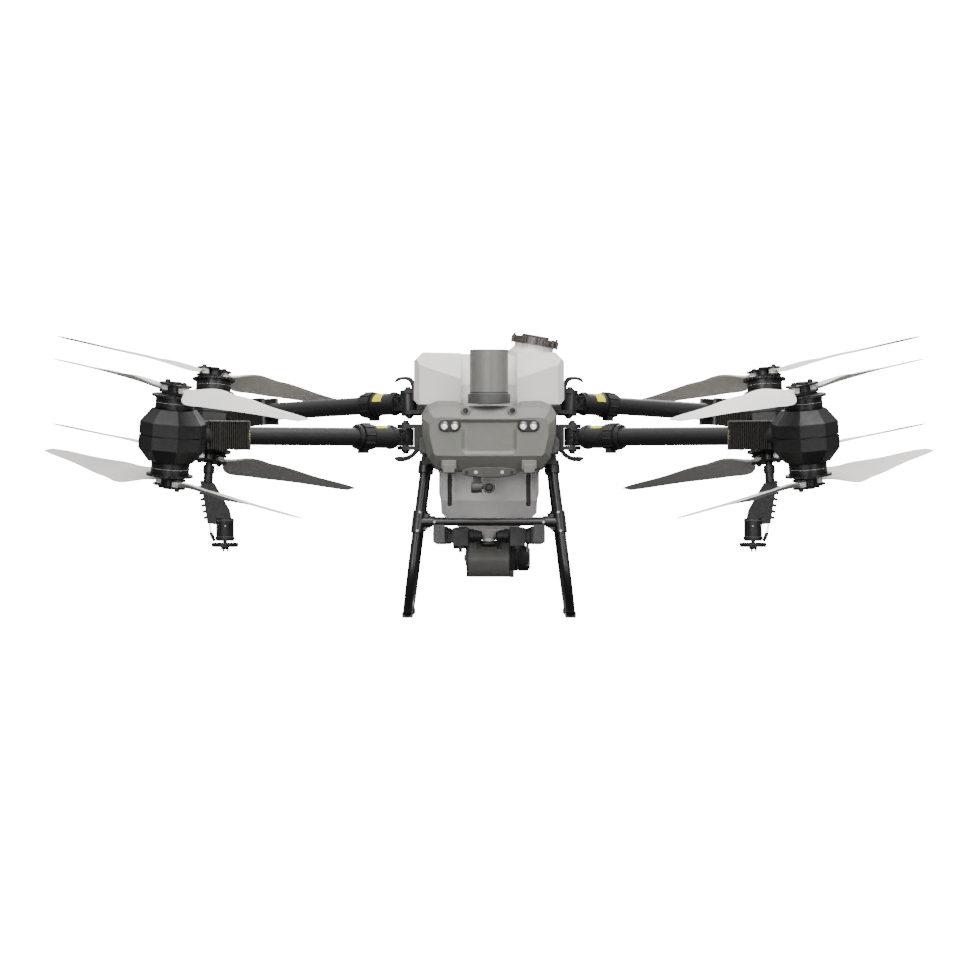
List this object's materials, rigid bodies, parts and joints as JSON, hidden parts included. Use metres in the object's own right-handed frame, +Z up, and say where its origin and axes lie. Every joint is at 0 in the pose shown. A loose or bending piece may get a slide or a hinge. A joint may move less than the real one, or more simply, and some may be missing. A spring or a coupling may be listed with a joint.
{
  "type": "agricultural spray drone",
  "caption": "Folding multirotor spray drone: paired coaxial rotors on folding arms, moulded tank, centrifugal spray lances, skid gear, radar cans and a tilting camera.",
  "frame": {"origin": "on the ground under the middle of the aircraft", "axes": "+X to the right seen from the front, the nose faces -Y, +Z up"},
  "size_m": [2.4908, 2.559, 0.7951],
  "materials": {
    "blade_ivory": "moulded nylon composite, fine grain",
    "motor_black": "black anodised aluminium",
    "carbon_tube": "fine diagonal carbon weave under satin lacquer",
    "black_plastic": "moulded black nylon",
    "pod_black": "moulded black composite with heat-sink fins",
    "frame_metal": "dark powder-coated aluminium",
    "shell_grey": "moulded olive-grey shell, fine spark texture",
    "tank_white": "blow-moulded polyethylene",
    "bracket_grey": "dark olive-grey coated aluminium",
    "window_black": "glossy black window",
    "radome_grey": "smooth moulded radome",
    "gear_black": "carbon tube with nylon tees and rubber feet",
    "lid_smoke": "smoked translucent plastic",
    "antenna_board": "circuit board",
    "battery_grey": "dark grey moulded case"
  },
  "bodies": {
    "root": {"center_frame": "frame_metal", "nose_shell": "shell_grey", "spray_tank": "tank_white", "camera_bracket": "bracket_grey", "vision_windows": "window_black", "front_radome": "radome_grey", "rear_radome": "radome_grey", "landing_gear_left": "gear_black", "landing_gear_right": "gear_black", "cross_tubes": "gear_black", "pumps": "black_plastic", "arm_clips": "black_plastic", "hinge_brackets": "frame_metal", "battery_bay": "frame_metal"},
    "arm_front_left": {"arm_tube_front_left": "carbon_tube", "motor_pod_front_left": "pod_black"},
    "lock_front_left": {"arm_lock_front_left": "black_plastic"},
    "rotor_front_left_upper": {"rotor_front_left_upper": "motor_black"},
    "blade_front_left_upper_1": {"blade_front_left_upper_1": "blade_ivory"},
    "blade_front_left_upper_2": {"blade_front_left_upper_2": "blade_ivory"},
    "rotor_front_left_lower": {"rotor_front_left_lower": "motor_black"},
    "blade_front_left_lower_1": {"blade_front_left_lower_1": "blade_ivory"},
    "blade_front_left_lower_2": {"blade_front_left_lower_2": "blade_ivory"},
    "arm_front_right": {"arm_tube_front_right": "carbon_tube", "motor_pod_front_right": "pod_black"},
    "lock_front_right": {"arm_lock_front_right": "black_plastic"},
    "rotor_front_right_upper": {"rotor_front_right_upper": "motor_black"},
    "blade_front_right_upper_1": {"blade_front_right_upper_1": "blade_ivory"},
    "blade_front_right_upper_2": {"blade_front_right_upper_2": "blade_ivory"},
    "rotor_front_right_lower": {"rotor_front_right_lower": "motor_black"},
    "blade_front_right_lower_1": {"blade_front_right_lower_1": "blade_ivory"},
    "blade_front_right_lower_2": {"blade_front_right_lower_2": "blade_ivory"},
    "arm_rear_left": {"arm_tube_rear_left": "carbon_tube", "motor_pod_rear_left": "pod_black", "spray_lance_left": "black_plastic"},
    "lock_rear_left": {"arm_lock_rear_left": "black_plastic"},
    "rotor_rear_left_upper": {"rotor_rear_left_upper": "motor_black"},
    "blade_rear_left_upper_1": {"blade_rear_left_upper_1": "blade_ivory"},
    "blade_rear_left_upper_2": {"blade_rear_left_upper_2": "blade_ivory"},
    "rotor_rear_left_lower": {"rotor_rear_left_lower": "motor_black"},
    "blade_rear_left_lower_1": {"blade_rear_left_lower_1": "blade_ivory"},
    "blade_rear_left_lower_2": {"blade_rear_left_lower_2": "blade_ivory"},
    "arm_rear_right": {"arm_tube_rear_right": "carbon_tube", "motor_pod_rear_right": "pod_black", "spray_lance_right": "black_plastic"},
    "lock_rear_right": {"arm_lock_rear_right": "black_plastic"},
    "rotor_rear_right_upper": {"rotor_rear_right_upper": "motor_black"},
    "blade_rear_right_upper_1": {"blade_rear_right_upper_1": "blade_ivory"},
    "blade_rear_right_upper_2": {"blade_rear_right_upper_2": "blade_ivory"},
    "rotor_rear_right_lower": {"rotor_rear_right_lower": "motor_black"},
    "blade_rear_right_lower_1": {"blade_rear_right_lower_1": "blade_ivory"},
    "blade_rear_right_lower_2": {"blade_rear_right_lower_2": "blade_ivory"},
    "spray_disc_left": {"spray_disc_left": "black_plastic"},
    "spray_disc_right": {"spray_disc_right": "black_plastic"},
    "lid_cap": {"lid_cap": "lid_smoke"},
    "lid_ring": {"lid_ring": "lid_smoke"},
    "front_antenna": {"front_antenna": "antenna_board"},
    "rear_antenna": {"rear_antenna": "antenna_board"},
    "gimbal_camera": {"gimbal_camera": "window_black"},
    "battery": {"battery": "battery_grey"}
  },
  "joints": [
    {"name": "arm_front_left_fold", "type": "hinge", "parent": "root", "child": "arm_front_left", "pos_m": [-0.23, -0.2562, 0.5], "axis": [0, 0, 1], "range_deg": [-90, 0]},
    {"name": "lock_front_left_turn", "type": "hinge", "parent": "arm_front_left", "child": "lock_front_left", "pos_m": [-0.34231, -0.33465, 0.5], "axis": [-0.8198, -0.5727, 0], "range_deg": [0, 60]},
    {"name": "rotor_front_left_upper_spin", "type": "hinge", "parent": "arm_front_left", "child": "rotor_front_left_upper", "pos_m": [-0.847, -0.6872, 0.5], "axis": [0.0777, -0.1113, 0.9907], "continuous": true},
    {"name": "blade_front_left_upper_1_fold", "type": "hinge", "parent": "rotor_front_left_upper", "child": "blade_front_left_upper_1", "pos_m": [-0.86147, -0.66381, 0.63094], "axis": [0.0777, -0.1113, 0.9907], "range_deg": [-90, 0]},
    {"name": "blade_front_left_upper_2_fold", "type": "hinge", "parent": "rotor_front_left_upper", "child": "blade_front_left_upper_2", "pos_m": [-0.81295, -0.73863, 0.61873], "axis": [-0.0777, 0.1113, -0.9907], "range_deg": [-90, 0]},
    {"name": "rotor_front_left_lower_spin", "type": "hinge", "parent": "arm_front_left", "child": "rotor_front_left_lower", "pos_m": [-0.847, -0.6872, 0.5], "axis": [-0.0777, 0.1113, -0.9907], "continuous": true},
    {"name": "blade_front_left_lower_1_fold", "type": "hinge", "parent": "rotor_front_left_lower", "child": "blade_front_left_lower_1", "pos_m": [-0.88105, -0.63577, 0.38127], "axis": [-0.0777, 0.1113, -0.9907], "range_deg": [-90, 0]},
    {"name": "blade_front_left_lower_2_fold", "type": "hinge", "parent": "rotor_front_left_lower", "child": "blade_front_left_lower_2", "pos_m": [-0.83253, -0.71059, 0.36906], "axis": [0.0777, -0.1113, 0.9907], "range_deg": [-90, 0]},
    {"name": "arm_front_right_fold", "type": "hinge", "parent": "root", "child": "arm_front_right", "pos_m": [0.23, -0.2562, 0.5], "axis": [0, 0, -1], "range_deg": [-90, 0]},
    {"name": "lock_front_right_turn", "type": "hinge", "parent": "arm_front_right", "child": "lock_front_right", "pos_m": [0.34231, -0.33465, 0.5], "axis": [0.8198, -0.5727, 0], "range_deg": [0, 60]},
    {"name": "rotor_front_right_upper_spin", "type": "hinge", "parent": "arm_front_right", "child": "rotor_front_right_upper", "pos_m": [0.847, -0.6872, 0.5], "axis": [0.0777, 0.1113, -0.9907], "continuous": true},
    {"name": "blade_front_right_upper_1_fold", "type": "hinge", "parent": "rotor_front_right_upper", "child": "blade_front_right_upper_1", "pos_m": [0.86147, -0.66381, 0.63094], "axis": [0.0777, 0.1113, -0.9907], "range_deg": [-90, 0]},
    {"name": "blade_front_right_upper_2_fold", "type": "hinge", "parent": "rotor_front_right_upper", "child": "blade_front_right_upper_2", "pos_m": [0.81295, -0.73863, 0.61873], "axis": [-0.0777, -0.1113, 0.9907], "range_deg": [-90, 0]},
    {"name": "rotor_front_right_lower_spin", "type": "hinge", "parent": "arm_front_right", "child": "rotor_front_right_lower", "pos_m": [0.847, -0.6872, 0.5], "axis": [-0.0777, -0.1113, 0.9907], "continuous": true},
    {"name": "blade_front_right_lower_1_fold", "type": "hinge", "parent": "rotor_front_right_lower", "child": "blade_front_right_lower_1", "pos_m": [0.88105, -0.63577, 0.38127], "axis": [-0.0777, -0.1113, 0.9907], "range_deg": [-90, 0]},
    {"name": "blade_front_right_lower_2_fold", "type": "hinge", "parent": "rotor_front_right_lower", "child": "blade_front_right_lower_2", "pos_m": [0.83253, -0.71059, 0.36906], "axis": [0.0777, 0.1113, -0.9907], "range_deg": [-90, 0]},
    {"name": "arm_rear_left_fold", "type": "hinge", "parent": "root", "child": "arm_rear_left", "pos_m": [-0.23, 0.2818, 0.604], "axis": [0.0548, -0.1074, -0.9927], "range_deg": [-90, 0]},
    {"name": "lock_rear_left_turn", "type": "hinge", "parent": "arm_rear_left", "child": "lock_rear_left", "pos_m": [-0.34053, 0.36255, 0.59838], "axis": [-0.8068, 0.5894, -0.041], "range_deg": [0, 60]},
    {"name": "rotor_rear_left_upper_spin", "type": "hinge", "parent": "arm_rear_left", "child": "rotor_rear_left_upper", "pos_m": [-0.82, 0.7128, 0.574], "axis": [-0.0472, -0.1336, -0.9899], "continuous": true},
    {"name": "blade_rear_left_upper_1_fold", "type": "hinge", "parent": "rotor_rear_left_upper", "child": "blade_rear_left_upper_1", "pos_m": [-0.78701, 0.76508, 0.69266], "axis": [0.0472, 0.1336, 0.9899], "range_deg": [-90, 0]},
    {"name": "blade_rear_left_upper_2_fold", "type": "hinge", "parent": "rotor_rear_left_upper", "child": "blade_rear_left_upper_2", "pos_m": [-0.84109, 0.69418, 0.7048], "axis": [-0.0472, -0.1336, -0.9899], "range_deg": [-90, 0]},
    {"name": "rotor_rear_left_lower_spin", "type": "hinge", "parent": "arm_rear_left", "child": "rotor_rear_left_lower", "pos_m": [-0.82, 0.7128, 0.574], "axis": [-0.0472, -0.1336, -0.9899], "continuous": true},
    {"name": "blade_rear_left_lower_1_fold", "type": "hinge", "parent": "rotor_rear_left_lower", "child": "blade_rear_left_lower_1", "pos_m": [-0.79891, 0.73142, 0.4432], "axis": [0.0472, 0.1336, 0.9899], "range_deg": [-90, 0]},
    {"name": "blade_rear_left_lower_2_fold", "type": "hinge", "parent": "rotor_rear_left_lower", "child": "blade_rear_left_lower_2", "pos_m": [-0.85299, 0.66052, 0.45534], "axis": [-0.0472, -0.1336, -0.9899], "range_deg": [-90, 0]},
    {"name": "arm_rear_right_fold", "type": "hinge", "parent": "root", "child": "arm_rear_right", "pos_m": [0.23, 0.2818, 0.604], "axis": [0.0548, 0.1074, 0.9927], "range_deg": [-90, 0]},
    {"name": "lock_rear_right_turn", "type": "hinge", "parent": "arm_rear_right", "child": "lock_rear_right", "pos_m": [0.34053, 0.36255, 0.59838], "axis": [0.8068, 0.5894, -0.041], "range_deg": [0, 60]},
    {"name": "rotor_rear_right_upper_spin", "type": "hinge", "parent": "arm_rear_right", "child": "rotor_rear_right_upper", "pos_m": [0.82, 0.7128, 0.574], "axis": [-0.0472, 0.1336, 0.9899], "continuous": true},
    {"name": "blade_rear_right_upper_1_fold", "type": "hinge", "parent": "rotor_rear_right_upper", "child": "blade_rear_right_upper_1", "pos_m": [0.78701, 0.76508, 0.69266], "axis": [0.0472, -0.1336, -0.9899], "range_deg": [-90, 0]},
    {"name": "blade_rear_right_upper_2_fold", "type": "hinge", "parent": "rotor_rear_right_upper", "child": "blade_rear_right_upper_2", "pos_m": [0.84109, 0.69418, 0.7048], "axis": [-0.0472, 0.1336, 0.9899], "range_deg": [-90, 0]},
    {"name": "rotor_rear_right_lower_spin", "type": "hinge", "parent": "arm_rear_right", "child": "rotor_rear_right_lower", "pos_m": [0.82, 0.7128, 0.574], "axis": [-0.0472, 0.1336, 0.9899], "continuous": true},
    {"name": "blade_rear_right_lower_1_fold", "type": "hinge", "parent": "rotor_rear_right_lower", "child": "blade_rear_right_lower_1", "pos_m": [0.79891, 0.73142, 0.4432], "axis": [0.0472, -0.1336, -0.9899], "range_deg": [-90, 0]},
    {"name": "blade_rear_right_lower_2_fold", "type": "hinge", "parent": "rotor_rear_right_lower", "child": "blade_rear_right_lower_2", "pos_m": [0.85299, 0.66052, 0.45534], "axis": [-0.0472, 0.1336, 0.9899], "range_deg": [-90, 0]},
    {"name": "spray_disc_left_spin", "type": "hinge", "parent": "arm_rear_left", "child": "spray_disc_left", "pos_m": [-0.77946, 0.6877, 0.19259], "axis": [0, 0, 1], "continuous": true},
    {"name": "spray_disc_right_spin", "type": "hinge", "parent": "arm_rear_right", "child": "spray_disc_right", "pos_m": [0.77946, 0.6877, 0.19259], "axis": [0, 0, 1], "continuous": true},
    {"name": "lid_lift", "type": "slide", "parent": "root", "child": "lid_cap", "axis": [0.1736, 0, 0.9848], "range_m": [0, 0.12]},
    {"name": "lid_ring_turn", "type": "hinge", "parent": "lid_cap", "child": "lid_ring", "pos_m": [0.12829, -0.0102, 0.76836], "axis": [0.1736, 0, 0.9848], "range_deg": [0, 75]},
    {"name": "front_antenna_spin", "type": "hinge", "parent": "root", "child": "front_antenna", "pos_m": [0, -0.3072, 0.66], "axis": [0, 0, 1], "continuous": true},
    {"name": "rear_antenna_spin", "type": "hinge", "parent": "root", "child": "rear_antenna", "pos_m": [0, 0.1198, 0.159], "axis": [1, 0, 0], "continuous": true},
    {"name": "camera_tilt", "type": "hinge", "parent": "root", "child": "gimbal_camera", "pos_m": [0, -0.3652, 0.361], "axis": [1, 0, 0], "range_deg": [-30, 90]},
    {"name": "battery_lift", "type": "slide", "parent": "root", "child": "battery", "axis": [0, 0, 1], "range_m": [0, 0.3]}
  ]
}
